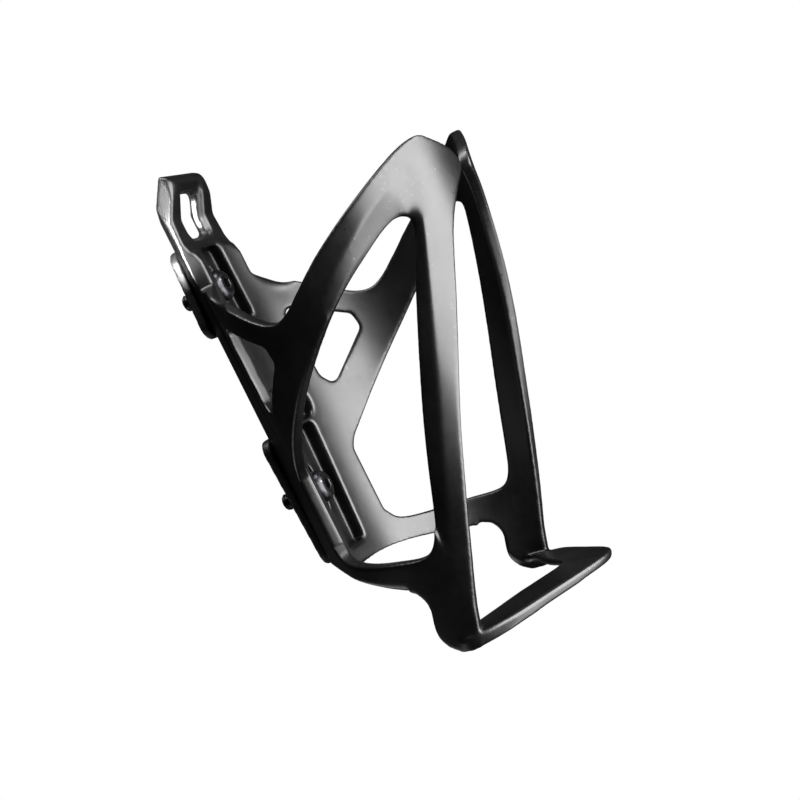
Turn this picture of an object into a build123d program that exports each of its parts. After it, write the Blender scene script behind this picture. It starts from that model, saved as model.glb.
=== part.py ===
from build123d import *
import math
import os

# A side-arm bicycle bottle cage. Millimetres, +Z up along the bottle. The frame tube is behind (+Y) and
# the bottle is in front (-Y). The origin is midway between the two frame bolts, on the plane of the
# frame pads, which is where the cage sits against the bicycle frame.

# Driving dimensions
BOLT_SPACING = 64.0          # standard distance between bottle bosses on a bicycle frame
WALL_INNER = 37.5            # inside radius of the cage wall, for a 73 to 74 mm bottle
WALL_THICK = 3.5
WALL_OUTER = WALL_INNER + WALL_THICK
AXIS_Y = -45.7               # the bottle's axis, in front of the pad plane
LEG_BOTTOM = -85.2
BAND_BOTTOM = -57.4          # bottom of the rear band at the spine
SPINE_TOP = 53.0             # where the head tab bends towards the bottle

ARM_LIMIT = 43.0             # height of the ring that the arms are cut from
FLARE_START = 20.0           # above this the arms open outwards, to lead the bottle in
FLARE_WIDTH = 3.0            # how far they have opened at the ring's top
FLARE_END_Y = -14.0          # the flare stops short of the spine

PAD_THICK = 2.8
PLATE_BACK = -PAD_THICK      # back face of the spine, against the pads
CHANNEL_FLOOR = -4.8         # floor of the bolt channels
SCREW_Z = BOLT_SPACING / 2
SLIDE_TRAVEL = 5.0           # each way, along the slotted bolt holes

# M5 hardware
BOLT_RADIUS = 2.5
BOLT_HOLE_RADIUS = 2.75
BOLT_LENGTH = 12.0
SHANK_RADIUS = 2.25          # plain part under the head, inside the cage and pads
THREAD_START_Y = 0.15        # the free end has its full radius from just behind the pads
THREAD_CHAMFER = 0.4
HEAD_RADIUS = 4.75
HEAD_HEIGHT = 2.75
HEAD_DOME = 1.9              # radius of the head's rounded rim
SOCKET_FLATS = 3.0
SOCKET_DEPTH = 1.8
WASHER_RADIUS = 5.0
WASHER_BORE = 2.65
WASHER_THICK = 1.0
CLEARANCE = 0.02             # keeps neighbouring solids from sharing volume

CUT_INNER = WALL_INNER - 6   # cutters through the wall run between these radii
CUT_OUTER = WALL_OUTER + 8
FAR_BELOW = -100.0           # heights clear of the whole cage
FAR_ABOVE = 60.0
STATION_STEP = 3.0           # degrees between the sections of a wall cutter
TIP_ANGLE = 6.1              # where each arm's tip ends, either side of the front


def radial_plane(angle):
    """Half-plane through the bottle axis at an angle from the front, towards +X: x outward, y up."""
    turn = math.radians(angle)
    outward = (math.sin(turn), -math.cos(turn), 0)
    normal = (-math.cos(turn), -math.sin(turn), 0)
    return Plane(origin=(0, AXIS_Y, 0), x_dir=outward, z_dir=normal)


def smooth_curve(points, angle):
    """Value at an angle on a smooth curve through (angle, value) points."""
    last = len(points) - 1
    slopes = []
    for i in range(last + 1):
        before, after = points[max(i - 1, 0)], points[min(i + 1, last)]
        slopes.append((after[1] - before[1]) / (after[0] - before[0]))
    for i in range(last):
        (start, value_start), (end, value_end) = points[i], points[i + 1]
        if angle <= end or i == last - 1:
            span = end - start
            t = (angle - start) / span
            return ((2 * t**3 - 3 * t**2 + 1) * value_start + (t**3 - 2 * t**2 + t) * span * slopes[i]
                    + (3 * t**2 - 2 * t**3) * value_end + (t**3 - t**2) * span * slopes[i + 1])


def spread(start, end):
    """Evenly spaced angles between two angles, about STATION_STEP apart."""
    count = max(4, round((end - start) / STATION_STEP))
    return [start + (end - start) * i / count for i in range(count + 1)]


def radial_loft(stations):
    """Solid through closed outlines of (radius, height), each in the half-plane at its angle."""
    sections = []
    for angle, outline in stations:
        sections.append(radial_plane(angle) * make_face(Polyline(*outline, close=True)))
    return loft(sections)


def opening(low_edge, high_edge, tilt=0.0):
    """Cutter through the wall between two edges, each a list of (angle, height) or one height.

    The high edge is given at the inner face, and climbs by tilt on its way to the outer face.
    """
    climb = tilt / WALL_THICK
    climb_inner = climb * (CUT_INNER - WALL_INNER)
    climb_outer = climb * (CUT_OUTER - WALL_INNER)
    guide = low_edge if isinstance(low_edge, list) else high_edge
    outlines = []
    for angle in spread(guide[0][0], guide[-1][0]):
        low = smooth_curve(low_edge, angle) if isinstance(low_edge, list) else low_edge
        high = smooth_curve(high_edge, angle) if isinstance(high_edge, list) else high_edge
        outlines.append((angle, [(CUT_INNER, low), (CUT_OUTER, low), (CUT_OUTER, high + climb_outer),
                                 (CUT_INNER, high + climb_inner)]))
    return radial_loft(outlines)


# Each outline below gives heights of an edge of the wall at angles from the front.
ARM_TOP = [(5.5, 29.0), (7.5, 32.6), (11, 35.0), (15, 36.8), (21, 38.9), (27, 41.0), (35, 40.3), (46, 37.4),
           (64, 31.3), (82, 24.2), (94, 18.6), (102, 15.0), (108, 13.6), (114, 14.4), (121, 17.2),
           (134, 23.4), (146, 28.4), (158, 32.4)]
ARM_FRONT = [(4, 30.4), (9, 27.8), (18, 22.9), (29, 14.4), (43, -3.6), (60, -28.0), (72, -48.4), (80, -62.6),
             (86, -73.0), (91, -84.0), (94, -92.0)]
WINDOW_LOW = [(42.5, 20.4), (50, 10.4), (60, -3.8), (72, -22.4), (80, -36.4), (86, -48.0), (89, -53.4),
              (93, -56.9), (98, -57.8), (110, -56.5), (128, -54.4), (139, -52.7), (145.5, -50.8),
              (150, -47.4)]
WINDOW_HIGH = [(42.5, 22.0), (46, 23.6), (52, 23.0), (62, 19.7), (80, 12.3), (104, -0.6), (130, -15.0),
               (142, -21.6), (147, -24.2), (150, -27.0)]
LEG_BACK_HIGH = [(104.4, -69.4), (106, -66.8), (109, -65.2), (112, -64.4)]
LEG_BACK_LOW = [(104.4, -71.4), (106, -75.0), (108, -83.0), (112, -100.0)]
UNDER_BAND = [(109.5, -66.0), (118, -64.2), (136, -60.6), (152, -58.3), (166, BAND_BOTTOM),
              (184, BAND_BOTTOM)]
BAND_TILT = 2.6
LEG_CORNER = [(89, -82.2), (95, -82.0), (100, -81.0), (104, -79.0), (107, -75.0), (109, -70.0)]
LEG_TILT = -3.4


# Small window between strap, leg and spine: corners as (across, height), seen square on from its angle.
# It is cut straight through at that angle, as a side core would leave it.
SMALL_WINDOW_ANGLE = 110.0
SMALL_WINDOW = [(6.8, 4.4), (7.6, 9.2), (25.2, 20.2), (23.9, -3.4), (21.2, -7.6)]
SMALL_WINDOW_CORNER = 1.8
SMALL_WINDOW_FROM = 18.0     # distances from the bottle's axis
SMALL_WINDOW_TO = 50.0


def small_window():
    """Cutter for the small window on the +X side."""
    face = make_face(Polyline(*SMALL_WINDOW, close=True))
    face = fillet(face.vertices(), SMALL_WINDOW_CORNER)
    across = radial_plane(SMALL_WINDOW_ANGLE)
    view = Plane(origin=across.origin, x_dir=-across.z_dir, z_dir=across.x_dir)
    return extrude(view.offset(SMALL_WINDOW_FROM) * face, SMALL_WINDOW_TO - SMALL_WINDOW_FROM)


# Bevel round the big window, at angles: height of the ridge, and radius of the wall at the window's edge
RIDGE_LOW = [(36.5, 26.4), (40, 20.0), (46, 10.4), (58, -9.6), (72, -34.0), (82, -51.2), (88, -60.0)]
RIDGE_HIGH = [(36.5, 31.4), (40, 31.4), (46, 30.2), (58, 27.0), (72, 21.6), (82, 16.4), (88, 13.0)]
EDGE_RADIUS_LOW = [(36.5, 40.8), (40, 39.4), (46, 38.6), (58, 38.6), (72, 38.6), (82, 38.8), (88, 39.4)]
EDGE_RADIUS_HIGH = [(36.5, 40.8), (40, 39.4), (46, 38.6), (58, 38.6), (72, 39.3), (82, 40.2), (88, 40.7)]
BEVEL_START_LOW = [(36.5, 28.4), (40, 24.0)]
BEVEL_START_HIGH = [(36.5, 29.2), (40, 25.6)]
BEVEL_REACH = 1.2            # how far past the outer face the bevel's cutter goes
BEVEL_OVERLAP = 0.4          # how far past the window's edge it starts


def slope_ends(edge, ridge):
    """Extends the slope from the window's edge to the ridge at both ends, as (radius, height) pairs."""
    steep = (ridge[1] - edge[1]) / (ridge[0] - edge[0])
    outer = WALL_OUTER + BEVEL_REACH
    start = edge[0] - BEVEL_OVERLAP / abs(steep)
    return (start, edge[1] + steep * (start - edge[0])), (outer, ridge[1] + steep * (outer - ridge[0]))


def bevel_cutter():
    low_edge = BEVEL_START_LOW + WINDOW_LOW
    high_edge = BEVEL_START_HIGH + WINDOW_HIGH
    outlines = []
    for angle in spread(RIDGE_LOW[0][0], RIDGE_LOW[-1][0]):
        sides = []
        for edge, radius, ridge in ((low_edge, EDGE_RADIUS_LOW, RIDGE_LOW),
                                    (high_edge, EDGE_RADIUS_HIGH, RIDGE_HIGH)):
            edge_point = (smooth_curve(radius, angle), smooth_curve(edge, angle))
            sides.append(slope_ends(edge_point, (WALL_OUTER, smooth_curve(ridge, angle))))
        (low_start, low_end), (high_start, high_end) = sides
        outlines.append((angle, [low_end, low_start, high_start, high_end]))
    return radial_loft(outlines)


# The bottom lip: inside and outside points of each cross-section, from the leg to the nose,
# as (across, forward of the bottle axis)
LIP_STATIONS = [((37.4, -10.5), (41.0, -6.0)),
                ((36.2, -5.4), (40.8, 1.0)),
                ((32.0, -2.2), (36.6, 6.6)),
                ((21.5, 3.0), (25.6, 15.0)),
                ((11.0, 8.6), (13.6, 23.4)),
                ((0.0, 14.6), (0.0, 29.6))]
LIP_TOP = -79.4              # inner edge, where the bottle stands
LIP_RIDGE = -81.5
LIP_INNER_THICK = 2.0
LIP_NOSE_RISE = 1.0          # how far the lip's underside rises from the legs to the nose
LIP_FRONT_SLOPE = 1.2        # how far the front face leans in towards the underside


def lip():
    """The bottom lip, from one leg round the nose to the other."""
    right = list(reversed(LIP_STATIONS[:-1]))
    left = [((-in_x, in_forward), (-out_x, out_forward))
            for (in_x, in_forward), (out_x, out_forward) in LIP_STATIONS]
    sections = []
    for (in_x, in_forward), (out_x, out_forward) in left + right:
        inner = Vector(in_x, AXIS_Y - in_forward, 0)
        outer = Vector(out_x, AXIS_Y - out_forward, 0)
        inset = (inner - outer).normalized() * LIP_FRONT_SLOPE
        underside = LEG_BOTTOM + LIP_NOSE_RISE * (1 - abs(out_x) / WALL_OUTER)
        corners = [inner + Vector(0, 0, LIP_TOP),
                   outer + Vector(0, 0, LIP_RIDGE),
                   outer + inset + Vector(0, 0, underside),
                   inner + Vector(0, 0, LIP_TOP - LIP_INNER_THICK)]
        sections.append(Face(Wire.make_polygon(corners, close=True)))
    return loft(sections)


# Spine outline, half widths at heights, seen from the front
SPINE_HALF = [(BAND_BOTTOM, 21.0), (-48.0, 22.6), (-24.0, 22.0), (-4.0, 19.6), (15.0, 17.4), (32.0, 17.2),
              (54.0, 14.4), (72.0, 10.4)]


def front_prism(points):
    """Prism through the whole spine with an outline of (across, height) seen from the front."""
    return Pos(0, 20, 0) * extrude(Plane.XZ * make_face(Polyline(*points, close=True)), 55)


def spine_outline():
    points = [(half, height) for height, half in SPINE_HALF]
    points += [(-half, height) for height, half in reversed(SPINE_HALF)]
    return front_prism(points)


def beside_spine():
    """Trims the wall beside the upper spine, down to where the straps spring from it."""
    upper = SPINE_HALF[-3:]
    points = [(half, height) for height, half in upper]
    points += [(40.0, upper[-1][0]), (40.0, upper[0][0])]
    return front_prism(points)


def side_prism(points, half_width):
    """Prism across the cage with an outline of (depth, height) seen from the side."""
    return extrude(Plane.YZ * make_face(Polyline(*points, close=True)), half_width, both=True)


TAB_FRONT = [(-13.3, 63.4), (-8.2, 53.0)]    # bottle side of the leaning head tab
TAB_BACK = [(PLATE_BACK, 55.0), (-8.9, 66.1)]
SPINE_FRONT = [(-8.2, 46.0), (-16.0, 20.0), (-16.0, BAND_BOTTOM)]   # below the tab, inside the bottle's space
BACK_HALF = 10.6             # half width of the spine's flat back; beyond it the back slopes forward
SIDE_HALF = 24.0


def spine_plate():
    """Flat back of the spine with the leaning head tab, before the bottle's space is cleared."""
    profile = [(PLATE_BACK, BAND_BOTTOM), *TAB_BACK, *TAB_FRONT, *SPINE_FRONT]
    plan = [(-BACK_HALF, PLATE_BACK), (BACK_HALF, PLATE_BACK), (SIDE_HALF, -12.5), (SIDE_HALF, -40.0),
            (-SIDE_HALF, -40.0), (-SIDE_HALF, -12.5)]
    taper = Pos(0, 0, BAND_BOTTOM - 5) * extrude(make_face(Polyline(*plan, close=True)), 140)
    return side_prism(profile, SIDE_HALF) & spine_outline() & taper


def flare(radius):
    """Side profile of a wall face, straight and then opening outwards towards the arm tips."""
    start = (radius, FLARE_START)
    top = (radius + FLARE_WIDTH, ARM_LIMIT)
    return Line((radius, LEG_BOTTOM), start) + TangentArc(start, top, tangent=(0, 1))


def turned(radius):
    """Solid of revolution inside one face of the wall, about the bottle's axis."""
    side = flare(radius)
    ends = Polyline((radius + FLARE_WIDTH, ARM_LIMIT), (0, ARM_LIMIT), (0, LEG_BOTTOM), (radius, LEG_BOTTOM))
    profile = Plane.XZ * make_face(side + ends)
    return Pos(0, AXIS_Y, 0) * revolve(profile, Axis.Z)


def bottle_space():
    """The space that the bottle takes: flared in front, straight against the spine."""
    upright = (Align.CENTER, Align.CENTER, Align.MIN)
    straight_height = SPINE_TOP - LEG_BOTTOM + 10
    straight = Pos(0, AXIS_Y, LEG_BOTTOM - 10) * Cylinder(WALL_INNER, straight_height, align=upright)
    front = Pos(0, FLARE_END_Y, 0) * Box(200, 200, 400, align=(Align.CENTER, Align.MAX, Align.CENTER))
    return straight, turned(WALL_INNER) & front


def flare_behind():
    """What the flare would add behind the spine, where the wall stays straight."""
    upright = (Align.CENTER, Align.CENTER, Align.MIN)
    back = Pos(0, FLARE_END_Y, FLARE_START) * Box(200, 200, 100, align=(Align.CENTER, Align.MIN, Align.MIN))
    return back - Pos(0, AXIS_Y, FLARE_START - 1) * Cylinder(WALL_OUTER, 120, align=upright)


# Side outline of what is cleared from the ring above the straps, in front of the spine
OVER_STRAP = [(-8.2, 54.0), (-8.2, 47.0), (-13.0, 33.0), (-36.0, 33.0), (-36.0, 54.0)]
OVER_STRAP_HALF = 26.0


def blank():
    """The whole ring wall with the spine plate, before any opening is cut."""
    straight, flared = bottle_space()
    over_strap = side_prism(OVER_STRAP, OVER_STRAP_HALF)
    return turned(WALL_OUTER) - flare_behind() - over_strap + spine_plate() - straight - flared


def cut_wall():
    wall = blank() - opening(FAR_BELOW, [(-TIP_ANGLE, FAR_ABOVE), (TIP_ANGLE, FAR_ABOVE)])
    cutters = [opening(ARM_TOP, FAR_ABOVE),
               opening(FAR_BELOW, ARM_FRONT),
               opening(LEG_BACK_LOW, LEG_BACK_HIGH),
               opening(FAR_BELOW, UNDER_BAND, BAND_TILT),
               opening(FAR_BELOW, LEG_CORNER, LEG_TILT),
               opening(WINDOW_LOW, WINDOW_HIGH),
               small_window(),
               bevel_cutter(),
               beside_spine()]
    for cutter in cutters:
        wall = wall - cutter - mirror(cutter, Plane.YZ)
    return wall


def tapered_pocket(z_top, half_top, z_bottom, half_bottom, depth_from, depth_to, corner):
    """Pocket or pad with a rounded trapezium outline seen from the front, between two depths."""
    outline = Polyline((-half_top, z_top), (half_top, z_top), (half_bottom, z_bottom),
                       (-half_bottom, z_bottom), close=True)
    face = make_face(outline)
    face = fillet(face.vertices(), corner)
    return Pos(0, depth_from, 0) * extrude(Plane.XZ * face, depth_from - depth_to)


# Outlines seen from the front, each (top height, half width there, bottom height, half width there)
UPPER_CHANNEL = (43.6, 6.4, 20.6, 7.1)
LOWER_CHANNEL = (-14.0, 9.2, -51.0, 6.8)
UPPER_SLOT = (60.2, 6.2, 47.4, 6.9)          # right through the head tab
MIDDLE_POCKET = (-1.0, 11.0, -12.8, 12.6)    # blind, above the lower channel
UPPER_PAD = (46.0, 10.2, 19.2, 12.8)
LOWER_PAD = (-13.0, 12.4, -52.6, 9.0)
MIDDLE_POCKET_FLOOR = -6.4
CHANNEL_CORNER = 2.0
SLOT_CORNER = 3.0
POCKET_CORNER = 4.0
TAB_RIM_CORNER = 3.5
PAD_CORNER = 4.0
BEHIND = 5.0                 # depths clear of the spine on both sides
IN_FRONT = -30.0
TAB_RIM = (61.8, 7.2, 46.4, 8.0)             # shallow recess round the tab's slot, inside a raised rim
TAB_RIM_FLOOR = [(-7.0, 46.0), (-7.0, 53.3), (-11.5, 62.5), (-20.0, 62.5), (-20.0, 46.0)]
TAB_POCKET = [(5.0, 48.0), (-4.2, 48.0), (-4.2, 54.3), (-8.2, 62.4), (-5.6, 63.7), (5.0, 63.7)]
TAB_POCKET_HALF = 9.8


def bolt_slot(z_centre):
    """Slotted hole for an M5 bolt, long enough for the height adjustment."""
    slot = SlotCenterToCenter(2 * SLIDE_TRAVEL, 2 * BOLT_HOLE_RADIUS, rotation=90)
    return Pos(0, BEHIND, z_centre) * extrude(Plane.XZ * slot, BEHIND - IN_FRONT)


def cage_body():
    body = cut_wall() + lip()
    body -= tapered_pocket(*UPPER_CHANNEL, CHANNEL_FLOOR, IN_FRONT, CHANNEL_CORNER)
    body -= tapered_pocket(*LOWER_CHANNEL, CHANNEL_FLOOR, IN_FRONT, CHANNEL_CORNER)
    body -= tapered_pocket(*UPPER_SLOT, BEHIND, IN_FRONT, SLOT_CORNER)
    body -= tapered_pocket(*MIDDLE_POCKET, MIDDLE_POCKET_FLOOR, IN_FRONT, POCKET_CORNER)
    body -= side_prism(TAB_POCKET, TAB_POCKET_HALF)
    rim_outline = tapered_pocket(*TAB_RIM, BEHIND, IN_FRONT, TAB_RIM_CORNER)
    body -= side_prism(TAB_RIM_FLOOR, TAB_POCKET_HALF) & rim_outline
    for z_centre in (SCREW_Z, -SCREW_Z):
        body -= bolt_slot(z_centre)
    return body


def frame_pad(outline, z_centre):
    z_top, half_top, z_bottom, half_bottom = outline
    pad = tapered_pocket(z_top, half_top, z_bottom, half_bottom, 0, PLATE_BACK + CLEARANCE, PAD_CORNER)
    return pad - bolt_slot(z_centre)


def washer(z_centre):
    ring = Cylinder(WASHER_RADIUS, WASHER_THICK) - Cylinder(WASHER_BORE, WASHER_THICK)
    middle = CHANNEL_FLOOR - CLEARANCE - WASHER_THICK / 2
    return Pos(0, middle, z_centre) * (Rot(90, 0, 0) * ring)


def bolt(z_centre):
    seat = CHANNEL_FLOOR - 2 * CLEARANCE - WASHER_THICK
    below = (Align.CENTER, Align.CENTER, Align.MAX)
    plain = THREAD_START_Y - seat
    shank = Cylinder(SHANK_RADIUS, plain, align=below)
    shank += Pos(0, 0, -plain) * Cylinder(BOLT_RADIUS, BOLT_LENGTH - plain, align=below)
    head = Cylinder(HEAD_RADIUS, HEAD_HEIGHT, align=(Align.CENTER, Align.CENTER, Align.MIN))
    head = fillet(head.edges().group_by(Axis.Z)[-1], HEAD_DOME)
    socket = Pos(0, 0, HEAD_HEIGHT - SOCKET_DEPTH) * extrude(
        RegularPolygon(SOCKET_FLATS / 2, 6, major_radius=False), SOCKET_DEPTH)
    screw = shank + head - socket
    end = screw.edges().filter_by(GeomType.CIRCLE).group_by(Axis.Z)[0]
    screw = chamfer(end, THREAD_CHAMFER)
    return Pos(0, seat, z_centre) * (Rot(90, 0, 0) * screw)


os.makedirs("parts", exist_ok=True)
parts = {
    "cage_body": cage_body(),
    "upper_frame_pad": frame_pad(UPPER_PAD, SCREW_Z),
    "lower_frame_pad": frame_pad(LOWER_PAD, -SCREW_Z),
    "upper_washer": washer(SCREW_Z),
    "lower_washer": washer(-SCREW_Z),
    "upper_bolt": bolt(SCREW_Z),
    "lower_bolt": bolt(-SCREW_Z),
}
for name, shape in parts.items():
    export_step(shape, f"parts/{name}.step")
    print(name, len(shape.solids()), round(shape.volume))
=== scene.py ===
import math

import bmesh
import bpy
import numpy as np
from mathutils import Matrix, Vector


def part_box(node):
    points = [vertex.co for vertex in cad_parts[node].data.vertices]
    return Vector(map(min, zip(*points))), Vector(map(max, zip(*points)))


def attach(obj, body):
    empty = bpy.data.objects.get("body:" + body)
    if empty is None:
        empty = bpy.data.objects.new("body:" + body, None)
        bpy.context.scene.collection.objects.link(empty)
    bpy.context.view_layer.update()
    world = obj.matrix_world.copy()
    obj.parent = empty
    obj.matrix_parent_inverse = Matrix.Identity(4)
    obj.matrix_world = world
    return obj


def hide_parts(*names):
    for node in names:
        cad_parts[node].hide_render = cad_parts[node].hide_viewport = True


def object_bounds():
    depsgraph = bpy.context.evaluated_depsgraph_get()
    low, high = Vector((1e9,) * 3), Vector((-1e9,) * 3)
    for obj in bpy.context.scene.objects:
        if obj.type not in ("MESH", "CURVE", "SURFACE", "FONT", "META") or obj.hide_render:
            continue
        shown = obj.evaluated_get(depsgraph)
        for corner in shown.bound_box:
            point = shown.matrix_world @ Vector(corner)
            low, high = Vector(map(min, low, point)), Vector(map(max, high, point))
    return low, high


# Looks for a moulded bottle cage. Metres, +Z up, the bicycle behind (+Y) and the bottle in front (-Y).

MM = 0.001
AXIS_Y = -45.7 * MM              # the bottle's axis
WALL_INNER = 37.5 * MM           # faces of the curved wall
WALL_OUTER = 41.0 * MM
FLARE_START = 20.0 * MM          # above this the arms open outwards on an arc
FLARE_TOP = 43.0 * MM
FLARE_WIDTH = 3.0 * MM
FLARE_END_Y = -14.0 * MM         # and behind this they stay straight
SNAP = 0.12 * MM                 # how far a faceted wall point may be from the true curved face

CAGE_VOXEL = 0.32 * MM
CAGE_SMOOTHING = 20              # rounds of smoothing, for moulded edge radii of about 1 mm
PAD_VOXEL = 0.35 * MM
PAD_SMOOTHING = 4
MERGE_SHARE = 0.35               # points closer than this share of a voxel become one
EVEN_STEP = 0.5                  # share of the way to its neighbours' mean that a point moves in a round

BLEND_SMOOTHING = 400            # more rounds where one stretch of the arms' wall runs into the next
FLARE_BLEND = 3.0 * MM           # on this much of each side
BLEND_PLATEAU = 1.5              # the middle third of that gets the full strength
BEVEL_START_ANGLE = 37.5         # where the arms' lower bevel begins, in degrees from the front
BEVEL_START_HEIGHT = 29.5 * MM
BEVEL_START_ROUND = 6.5          # blended this many degrees round the bottle
BEVEL_START_RISE = 9.0 * MM      # and this far up and down
LIP_LEVEL = -78.0 * MM           # the lip is below this and in front of this
LIP_BACK_Y = -52.0 * MM
LIP_SMOOTHING = 25

THREAD_PITCH = 0.8 * MM          # M5 coarse
THREAD_DEPTH = 0.42 * MM
BOLT_RADIUS = 2.5 * MM
BOLT_HEAD_RADIUS = 4.75 * MM
BOLT_HEAD_HEIGHT = 2.75 * MM
SOCKET_FLATS = 3.0 * MM
SOCKET_DEPTH = 1.8 * MM
DOME_TOP_RADIUS = 2.35 * MM      # flat ring round the socket, inside the dome
DOME_STEPS = 16
HEAD_RIM = 0.45 * MM             # height of the head below the dome
SOCKET_POINT = 0.15 * MM         # the drilled middle of the socket's floor is this much deeper
SOCKET_MOUTH = (0.24 * MM, 0.22 * MM)   # how much the socket widens at its mouth, and how deep
SMALL_BREAK = 0.12 * MM          # how far sharp corners are broken
THREAD_RUN_IN = 0.3 * MM         # the thread starts this far behind the seat
THREAD_FADE = 0.8 * MM           # and reaches its full depth over this much more
THREAD_CREST = 0.12              # share of the pitch that is flat crest, and share that is flank
THREAD_FLANK = 0.76
TIP_TAPER = 0.5 * MM             # length of the bolt's tapered end
TIP_CUT = 1.15                   # how deep the taper cuts, in thread depths
THREAD_STEP = 0.08 * MM
BOLT_SEGMENTS = 96

# The camera, as fitted to the reference view
VIEW_AZIMUTH = -69.643
VIEW_ELEVATION = 1.662
VIEW_ROLL = 26.497
VIEW_DISTANCE = 487.78 * MM
VIEW_TARGET = Vector((-0.142, -39.584, -19.609)) * MM
LENS = 78.49
SENSOR = 36.0

FLOOR_RADIUS = 3.0
FLOOR_GAP = 0.1 * MM             # between the floor and the lip
TAB_SIDE = Vector((-11.5, -8.0, 57.0)) * MM   # middle of the head tab's side face
WORLD_FILL = 0.012               # how bright the surroundings look in reflections

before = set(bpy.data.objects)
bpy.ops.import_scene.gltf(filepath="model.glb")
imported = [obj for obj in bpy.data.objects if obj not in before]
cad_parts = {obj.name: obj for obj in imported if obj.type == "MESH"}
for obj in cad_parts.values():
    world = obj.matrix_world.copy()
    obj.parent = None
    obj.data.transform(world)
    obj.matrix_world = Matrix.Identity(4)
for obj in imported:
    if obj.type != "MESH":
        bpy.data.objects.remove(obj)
start_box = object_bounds()


# ---------------------------------------------------------------- materials

NOISE_MIDDLE = (0.3, 0.7)        # where most of a noise's values lie
PLASTIC_EDGES = (0.535, 0.62)    # pointiness at which an edge starts to show as one, and fully does
STEEL_EDGES = (0.53, 0.62)
FLOW_MARK_SIZE = 14 * MM         # broad, shallow unevenness left by the moulding
FLOW_MARK_DEPTH = 0.05 * MM
FINE_MARK_SIZE = 1.6 * MM        # small changes in roughness
GRAIN_DEPTH = 0.02 * MM
RUBBED_SMOOTHER = 0.10           # how much less rough the edges are
RECESS_REACH = 9.0 * MM          # how far the plastic looks for walls that keep light out
RECESS_OPENNESS = (0.45, 0.92)   # from a closed-in point to an open one
RECESS_SHADE_SPECULAR = (0.05, 0.5)       # and how strongly each reflects, which paints shade into recesses
MOTTLING_SIZE = 0.9 * MM
STEEL_GRAIN_SIZE = 0.12 * MM
STEEL_GRAIN_DEPTH = 0.008 * MM
OXIDE_COLOUR = (0.035, 0.035, 0.038)
BARE_COLOUR = (0.30, 0.29, 0.28)


def node_material(name):
    """New node material, with its tree, its shader and its object coordinates."""
    material = bpy.data.materials.new(name)
    material.use_nodes = True
    tree = material.node_tree
    shader = tree.nodes["Principled BSDF"]
    coordinates = tree.nodes.new("ShaderNodeTexCoord").outputs["Object"]
    return material, tree, shader, coordinates


def noise(tree, coordinates, feature_size, detail=3.0):
    """Noise whose features are about feature_size across."""
    node = tree.nodes.new("ShaderNodeTexNoise")
    node.inputs["Scale"].default_value = 1.0 / feature_size
    node.inputs["Detail"].default_value = detail
    tree.links.new(coordinates, node.inputs["Vector"])
    return node.outputs["Fac"]


def remap(tree, value, from_low, from_high, to_low, to_high):
    """Maps a value linearly from one range to another, clamped."""
    node = tree.nodes.new("ShaderNodeMapRange")
    limits = {"From Min": from_low, "From Max": from_high, "To Min": to_low, "To Max": to_high}
    for socket, number in limits.items():
        node.inputs[socket].default_value = number
    tree.links.new(value, node.inputs["Value"])
    return node.outputs["Result"]


def combine(tree, operation, first, second):
    """Math on two values, each a socket or a number."""
    node = tree.nodes.new("ShaderNodeMath")
    node.operation = operation
    for socket, value in zip(node.inputs, (first, second)):
        if isinstance(value, float):
            socket.default_value = value
        else:
            tree.links.new(value, socket)
    return node.outputs["Value"]


def blend_colours(tree, factor, first, second):
    node = tree.nodes.new("ShaderNodeMix")
    node.data_type = "RGBA"
    tree.links.new(factor, node.inputs["Factor"])
    node.inputs["A"].default_value = (*first, 1.0)
    node.inputs["B"].default_value = (*second, 1.0)
    return node.outputs["Result"]


def bump(tree, height, distance, strength, below=None):
    node = tree.nodes.new("ShaderNodeBump")
    node.inputs["Distance"].default_value = distance
    node.inputs["Strength"].default_value = strength
    tree.links.new(height, node.inputs["Height"])
    if below is not None:
        tree.links.new(below, node.inputs["Normal"])
    return node.outputs["Normal"]


def edges(tree, low, high):
    """0 on flat surfaces, rising to 1 on convex edges."""
    geometry = tree.nodes.new("ShaderNodeNewGeometry")
    return remap(tree, geometry.outputs["Pointiness"], low, high, 0.0, 1.0)


def moulded_plastic(name, colour, worn_and_highlight_colour, roughness, grain_size, grain_strength):
    """Black moulded plastic: fine grain, faint flow marks, edges rubbed smoother and painted lighter (part
    wear, part painted highlight), painted shade in recesses.
    """
    material, tree, shader, coordinates = node_material(name)
    edge = edges(tree, *PLASTIC_EDGES)
    flow = noise(tree, coordinates, FLOW_MARK_SIZE, 4.0)
    # Edges get a lighter base colour: part wear, part painted highlight.
    worn_and_highlight_tone = blend_colours(tree, edge, colour, worn_and_highlight_colour)
    tree.links.new(worn_and_highlight_tone, shader.inputs["Base Color"])
    uneven = remap(tree, flow, *NOISE_MIDDLE, roughness - 0.04, roughness + 0.05)
    fine = noise(tree, coordinates, FINE_MARK_SIZE, 2.0)
    uneven = combine(tree, "ADD", uneven, remap(tree, fine, *NOISE_MIDDLE, -0.02, 0.02))
    rubbed = combine(tree, "MULTIPLY", edge, -RUBBED_SMOOTHER)
    tree.links.new(combine(tree, "ADD", uneven, rubbed), shader.inputs["Roughness"])
    soft = bump(tree, flow, FLOW_MARK_DEPTH, 0.25)
    grain = noise(tree, coordinates, grain_size, 2.0)
    tree.links.new(bump(tree, grain, GRAIN_DEPTH, grain_strength, soft), shader.inputs["Normal"])
    # Painted shade: recesses reflect less, by ambient occlusion, standing in for the light their walls keep
    # out.
    recess = tree.nodes.new("ShaderNodeAmbientOcclusion")
    recess.inputs["Distance"].default_value = RECESS_REACH
    recess.samples = 8
    painted_recess_shade = remap(tree, recess.outputs["AO"], *RECESS_OPENNESS, *RECESS_SHADE_SPECULAR)
    tree.links.new(painted_recess_shade, shader.inputs["Specular IOR Level"])
    shader.inputs["IOR"].default_value = 1.5
    return material


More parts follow.
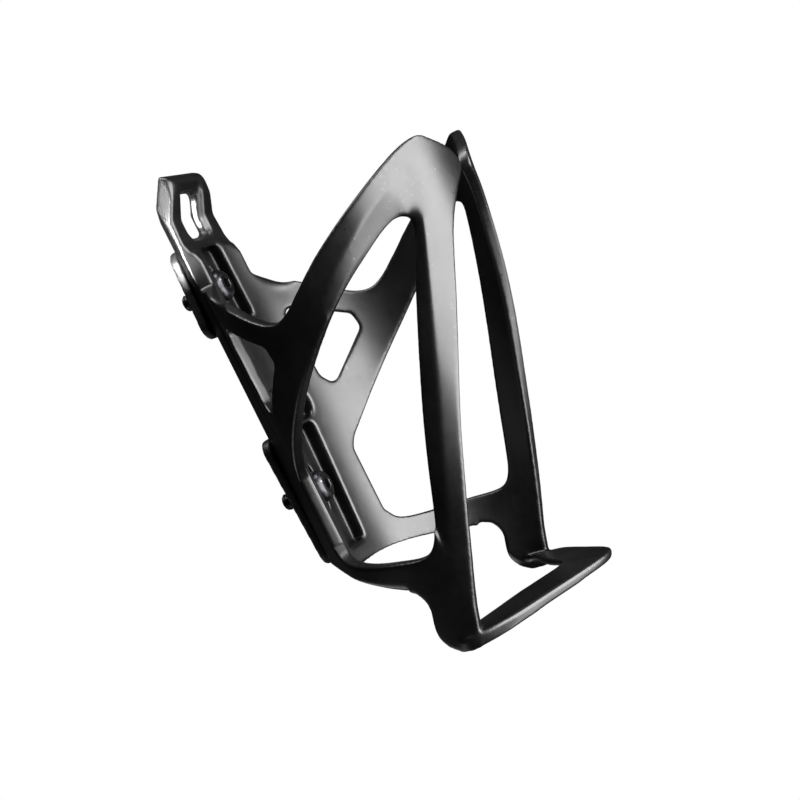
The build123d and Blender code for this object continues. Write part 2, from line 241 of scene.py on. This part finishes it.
def black_steel(name, roughness):
    """Black-oxide steel, finely mottled, with bare metal showing on its edges."""
    material, tree, shader, coordinates = node_material(name)
    edge = edges(tree, *STEEL_EDGES)
    mottling = noise(tree, coordinates, MOTTLING_SIZE, 4.0)
    worn = combine(tree, "MULTIPLY", edge, remap(tree, mottling, 0.4, 0.65, 0.15, 0.8))
    tree.links.new(blend_colours(tree, worn, OXIDE_COLOUR, BARE_COLOUR), shader.inputs["Base Color"])
    shader.inputs["Metallic"].default_value = 1.0
    uneven = remap(tree, mottling, *NOISE_MIDDLE, roughness - 0.06, roughness + 0.08)
    tree.links.new(uneven, shader.inputs["Roughness"])
    fine = noise(tree, coordinates, STEEL_GRAIN_SIZE, 2.0)
    tree.links.new(bump(tree, fine, STEEL_GRAIN_DEPTH, 0.3), shader.inputs["Normal"])
    return material


# ---------------------------------------------------------------- pieces

def new_piece(name, mesh, material, body, node):
    """Shows a mesh in place of a CAD node."""
    piece = bpy.data.objects.new(name, mesh)
    bpy.context.scene.collection.objects.link(piece)
    piece.data.materials.clear()
    piece.data.materials.append(material)
    for polygon in piece.data.polygons:
        polygon.use_smooth = True
    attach(piece, body)
    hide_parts(node)
    return piece


def modified(mesh, name, changes):
    """The mesh after some modifiers, each a (type, settings) pair."""
    holder = bpy.data.objects.new(name, mesh)
    bpy.context.scene.collection.objects.link(holder)
    for kind, settings in changes:
        modifier = holder.modifiers.new(kind.title(), kind)
        for setting, value in settings.items():
            setattr(modifier, setting, value)
    graph = bpy.context.evaluated_depsgraph_get()
    result = bpy.data.meshes.new_from_object(holder.evaluated_get(graph))
    bpy.data.objects.remove(holder)
    return result


def flare_width(height):
    """How far the wall has opened outwards at each height: a circular arc that starts upright."""
    rise = FLARE_TOP - FLARE_START
    radius = (rise**2 + FLARE_WIDTH**2) / (2 * FLARE_WIDTH)
    above = np.clip(height - FLARE_START, 0, rise)
    return radius - np.sqrt(radius**2 - above**2)


def mesh_points(mesh):
    points = np.empty(len(mesh.vertices) * 3)
    mesh.vertices.foreach_get("co", points)
    return points.reshape(-1, 3)


def move_points(mesh, points):
    mesh.vertices.foreach_set("co", points.ravel())
    mesh.update()


def true_curves(mesh):
    """Moves points near the curved wall's two faces onto the exact faces, which takes out the facets."""
    points = mesh_points(mesh)
    from_axis = points[:, :2] - np.array((0.0, AXIS_Y))
    radius = np.linalg.norm(from_axis, axis=1)
    flare_here = np.where(points[:, 1] < FLARE_END_Y, flare_width(points[:, 2]), 0.0)
    for face_radius in (WALL_INNER, WALL_OUTER):
        wanted = face_radius + flare_here
        near = np.abs(radius - wanted) < SNAP
        scale = np.where(near, wanted / np.maximum(radius, MM), 1.0)
        from_axis = from_axis * scale[:, None]
        radius = radius * scale
    points[:, :2] = from_axis + np.array((0.0, AXIS_Y))
    move_points(mesh, points)


def soften(mesh, rounds, strength):
    """Moves each point towards its neighbours' mean in rounds, by its own share of the way.

    Points with a strength of 0 stay where they are.
    """
    points = mesh_points(mesh)
    ends = np.empty(len(mesh.edges) * 2, dtype=np.int64)
    mesh.edges.foreach_get("vertices", ends)
    ends = ends.reshape(-1, 2)
    here = np.concatenate((ends[:, 0], ends[:, 1]))
    there = np.concatenate((ends[:, 1], ends[:, 0]))
    moving = strength[here] > 0
    here = here[moving]
    there = there[moving]
    neighbours = np.maximum(np.bincount(here, minlength=len(points)), 1)
    for _ in range(rounds):
        totals = [np.bincount(here, weights=points[there, axis], minlength=len(points))
                  for axis in range(3)]
        mean = np.stack(totals, axis=1) / neighbours[:, None]
        points = points + (mean - points) * strength[:, None]
    move_points(mesh, points)


def blended_places(mesh):
    """1 where the flare ends behind and where the bevel starts in front, falling to 0 around them."""
    points = mesh_points(mesh)
    behind = np.abs(points[:, 1] - FLARE_END_Y) / FLARE_BLEND
    behind = np.where(points[:, 2] > FLARE_START, behind, 1.0)
    angle = np.degrees(np.arctan2(np.abs(points[:, 0]), AXIS_Y - points[:, 1]))
    around = np.abs(angle - BEVEL_START_ANGLE) / BEVEL_START_ROUND
    upward = np.abs(points[:, 2] - BEVEL_START_HEIGHT) / BEVEL_START_RISE
    distance = np.minimum(behind, np.maximum(around, upward))
    return np.clip(BLEND_PLATEAU * (1 - distance), 0.0, 1.0)


def on_lip(mesh):
    """1 on the bottom lip, 0 elsewhere, with a soft limit between."""
    points = mesh_points(mesh)
    below = (LIP_LEVEL - points[:, 2]) / FLARE_BLEND
    forward = (LIP_BACK_Y - points[:, 1]) / FLARE_BLEND
    return np.clip(np.minimum(below, forward), 0.0, 1.0)


def moulded_piece(node, body, material, voxel, rounds, curved):
    """A CAD node as a moulding, with every edge rounded."""
    remesh = ("REMESH", {"mode": "VOXEL", "voxel_size": voxel, "adaptivity": 0.0})
    merge = ("WELD", {"merge_threshold": MERGE_SHARE * voxel})
    mesh = modified(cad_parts[node].data.copy(), node, [remesh, merge])
    if curved:
        true_curves(mesh)
        soften(mesh, BLEND_SMOOTHING, EVEN_STEP * blended_places(mesh))
        soften(mesh, LIP_SMOOTHING, EVEN_STEP * on_lip(mesh))
    soften(mesh, rounds, np.full(len(mesh.vertices), EVEN_STEP))
    mesh = modified(mesh, node, [merge])
    return new_piece(node + "_moulded", mesh, material, body, node)


def lathe(rings, segments):
    """Closed mesh round the Y axis from rings of (radius function of angle, y function of angle).

    The first and last rings are closed with a point on the axis.
    """
    mesh = bmesh.new()
    angles = [2 * math.pi * i / segments for i in range(segments)]
    loops = []
    for radius_at, height_at in rings:
        loops.append([mesh.verts.new((radius_at(a) * math.cos(a), height_at(a), radius_at(a) * math.sin(a)))
                      for a in angles])
    for lower, upper in zip(loops, loops[1:]):
        for i in range(segments):
            j = (i + 1) % segments
            mesh.faces.new((lower[i], lower[j], upper[j], upper[i]))
    for loop, flip in ((loops[0], True), (loops[-1], False)):
        middle = sum((v.co for v in loop), Vector()) / segments
        centre = mesh.verts.new((0.0, middle.y, 0.0))
        for i in range(segments):
            j = (i + 1) % segments
            corners = (loop[j], loop[i], centre) if flip else (loop[i], loop[j], centre)
            mesh.faces.new(corners)
    bmesh.ops.recalc_face_normals(mesh, faces=mesh.faces)
    return mesh


def hexagon(flats):
    """Radius of a hexagon, across its flats, at an angle."""
    sixth = math.pi / 3
    return lambda angle: flats / 2 / math.cos((angle + sixth / 2) % sixth - sixth / 2)


def threaded_bolt(name, centre, seat, tip):
    """Button-head bolt along +Y: hexagon socket, domed head and a real helical thread."""
    def level(value):
        return lambda angle: value

    head_top = seat - BOLT_HEAD_HEIGHT
    floor = head_top + SOCKET_DEPTH
    flat = hexagon(SOCKET_FLATS)
    mouth_width, mouth_depth = SOCKET_MOUTH
    rings = [(lambda a: flat(a) * 0.5, level(floor + SOCKET_POINT)),
             (lambda a: flat(a) * 0.985, level(floor)),
             (flat, level(floor - SMALL_BREAK)),
             (flat, level(head_top + mouth_depth)),
             (lambda a: flat(a) + mouth_width / 3, level(head_top + 0.08 * MM)),
             (lambda a: flat(a) + mouth_width, level(head_top))]
    for i in range(DOME_STEPS + 1):
        turn = math.pi / 2 * i / DOME_STEPS
        radius = DOME_TOP_RADIUS + (BOLT_HEAD_RADIUS - DOME_TOP_RADIUS) * math.sin(turn)
        height = head_top + (BOLT_HEAD_HEIGHT - HEAD_RIM) * (1 - math.cos(turn))
        rings.append((level(radius), level(height)))
    rings.append((level(BOLT_HEAD_RADIUS), level(seat - SMALL_BREAK)))
    rings.append((level(BOLT_HEAD_RADIUS - SMALL_BREAK), level(seat)))
    rings.append((level(BOLT_RADIUS + 0.05 * MM), level(seat)))

    def thread_at(y):
        """Radius of the shank at a height, as a function of the angle: a V thread with flat crests."""
        def radius(angle):
            phase = ((y - seat) / THREAD_PITCH + angle / (2 * math.pi)) % 1.0
            ridge = min(1.0, max(0.0, (abs(phase - 0.5) * 2 - THREAD_CREST) / THREAD_FLANK))
            fade = min(1.0, max(0.0, (y - seat - THREAD_RUN_IN) / THREAD_FADE))
            end = min(1.0, (tip - y) / TIP_TAPER)
            return BOLT_RADIUS - max(THREAD_DEPTH * ridge * fade, THREAD_DEPTH * TIP_CUT * (1 - end))
        return radius

    for i in range(1, round((tip - seat) / THREAD_STEP) + 1):
        y = min(seat + i * THREAD_STEP, tip)
        rings.append((thread_at(y), level(y)))
    mesh = lathe(rings, BOLT_SEGMENTS)
    bmesh.ops.translate(mesh, verts=mesh.verts, vec=(0.0, 0.0, centre))
    data = bpy.data.meshes.new(name)
    mesh.to_mesh(data)
    mesh.free()
    return data


# The second colour of each plastic is its edge colour: part wear, part painted highlight.
cage_plastic = moulded_plastic("cage_plastic", (0.0009, 0.0009, 0.0010), (0.004, 0.004, 0.0043),
                               0.34, 0.35 * MM, 0.12)
pad_plastic = moulded_plastic("pad_plastic", (0.004, 0.004, 0.0042), (0.014, 0.014, 0.0145),
                              0.46, 0.30 * MM, 0.25)
bolt_steel = black_steel("bolt_steel", 0.33)
washer_steel = black_steel("washer_steel", 0.40)

moulded_piece("cage_body", "cage", cage_plastic, CAGE_VOXEL, CAGE_SMOOTHING, True)
for node in ("upper_frame_pad", "lower_frame_pad"):
    moulded_piece(node, "cage", pad_plastic, PAD_VOXEL, PAD_SMOOTHING, False)

for place in ("upper", "lower"):
    low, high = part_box(place + "_bolt")
    seat = low.y + BOLT_HEAD_HEIGHT
    data = threaded_bolt(place + "_bolt_threaded", (low.z + high.z) / 2, seat, high.y)
    new_piece(place + "_bolt_threaded", data, bolt_steel, place + "_bolt", place + "_bolt")
    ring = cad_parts[place + "_washer"]
    for material_slot in ring.material_slots:
        material_slot.material = washer_steel
    rounding = ring.modifiers.new("rounded edges", "BEVEL")
    rounding.width = SMALL_BREAK
    rounding.segments = 3
    rounding.limit_method = "ANGLE"


# ---------------------------------------------------------------- studio

def view_axes():
    """The camera's axes: image right, image up, and back towards the camera."""
    azimuth, elevation, roll = (math.radians(a) for a in (VIEW_AZIMUTH, VIEW_ELEVATION, VIEW_ROLL))
    back = Vector((math.sin(azimuth) * math.cos(elevation), -math.cos(azimuth) * math.cos(elevation),
                   math.sin(elevation)))
    right = Vector((math.cos(azimuth), math.sin(azimuth), 0.0))
    up = right.cross(-back)
    return (right * math.cos(roll) - up * math.sin(roll),
            right * math.sin(roll) + up * math.cos(roll), back)


def add_camera():
    image_right, image_up, back = view_axes()
    data = bpy.data.cameras.new("camera")
    data.lens = LENS
    data.sensor_width = SENSOR
    data.clip_start = 0.01
    data.clip_end = 50.0
    camera = bpy.data.objects.new("camera", data)
    bpy.context.scene.collection.objects.link(camera)
    turn = Matrix((image_right, image_up, back)).transposed().to_4x4()
    camera.matrix_world = Matrix.Translation(VIEW_TARGET + back * VIEW_DISTANCE) @ turn
    bpy.context.scene.camera = camera


def softbox(name, direction, distance, width, height, power, aim=VIEW_TARGET, beam=180.0):
    """Rectangular area light, aimed at a point from a direction given in the camera's own axes.

    The direction is (right, up, towards the camera), sizes are in metres and power in watts.
    A beam of less than 180 degrees works like a honeycomb grid in front of the light.
    """
    image_right, image_up, back = view_axes()
    away = (image_right * direction[0] + image_up * direction[1] + back * direction[2]).normalized()
    data = bpy.data.lights.new(name, "AREA")
    data.shape = "RECTANGLE"
    data.size = width
    data.size_y = height
    data.energy = power
    data.spread = math.radians(beam)
    light = bpy.data.objects.new(name, data)
    bpy.context.scene.collection.objects.link(light)
    light.location = aim + away * distance
    light.rotation_mode = "QUATERNION"
    light.rotation_quaternion = away.to_track_quat("Z", "Y")
    light.visible_camera = False


def pale_floor():
    """Plain pale floor, evenly bright to the camera and left out of reflections and shadows."""
    material, tree, shader, _ = node_material("pale_floor")
    shader.inputs["Base Color"].default_value = (0.80, 0.80, 0.80, 1.0)
    shader.inputs["Roughness"].default_value = 0.9
    glow = tree.nodes.new("ShaderNodeEmission")
    glow.inputs["Color"].default_value = (1.0, 1.0, 1.0, 1.0)
    path = tree.nodes.new("ShaderNodeLightPath")
    mix = tree.nodes.new("ShaderNodeMixShader")
    output = tree.nodes["Material Output"]
    tree.links.new(path.outputs["Is Camera Ray"], mix.inputs["Fac"])
    tree.links.new(shader.outputs["BSDF"], mix.inputs[1])
    tree.links.new(glow.outputs["Emission"], mix.inputs[2])
    tree.links.new(mix.outputs["Shader"], output.inputs["Surface"])
    mesh = bmesh.new()
    bmesh.ops.create_circle(mesh, cap_ends=True, segments=96, radius=FLOOR_RADIUS)
    data = bpy.data.meshes.new("floor")
    mesh.to_mesh(data)
    mesh.free()
    floor = bpy.data.objects.new("floor", data)
    bpy.context.scene.collection.objects.link(floor)
    floor.location = (0.0, AXIS_Y, start_box[0].z - FLOOR_GAP)
    data.materials.append(material)
    floor.visible_glossy = False
    floor.visible_diffuse = False
    floor.visible_shadow = False


def pale_world():
    """White to the camera, dim grey to everything else, so that black plastic stays black."""
    world = bpy.data.worlds.new("studio")
    world.use_nodes = True
    bpy.context.scene.world = world
    tree = world.node_tree
    background = tree.nodes["Background"]
    path = tree.nodes.new("ShaderNodeLightPath")
    level = tree.nodes.new("ShaderNodeMapRange")
    tree.links.new(path.outputs["Is Camera Ray"], level.inputs["Value"])
    level.inputs["To Min"].default_value = WORLD_FILL
    level.inputs["To Max"].default_value = 1.0
    tree.links.new(level.outputs["Result"], background.inputs["Strength"])
    background.inputs["Color"].default_value = (1.0, 1.0, 1.0, 1.0)


bpy.context.scene.view_settings.view_transform = "Standard"
add_camera()
pale_floor()
pale_world()
# The broad gradient over arms, struts and the inside of the wall
softbox("big_right", (0.75, 0.40, 0.53), 0.62, 0.85, 0.80, 31.0)
# The front face of the bottom lip
softbox("low_right", (0.962, -0.239, 0.113), 0.62, 0.22, 0.40, 2.0)
# A little shape for the back
softbox("back_low", (-0.431, -0.855, -0.302), 0.70, 1.0, 0.35, 1.2)
# Thin lines along the edges that face up
softbox("overhead_strip", (-0.44, 0.88, 0.15), 0.60, 0.70, 0.12, 5.5)
# The head tab's side face alone
softbox("tab_side", (-0.58, -0.29, 0.756), 0.13, 0.020, 0.036, 0.04, TAB_SIDE, 5.0)
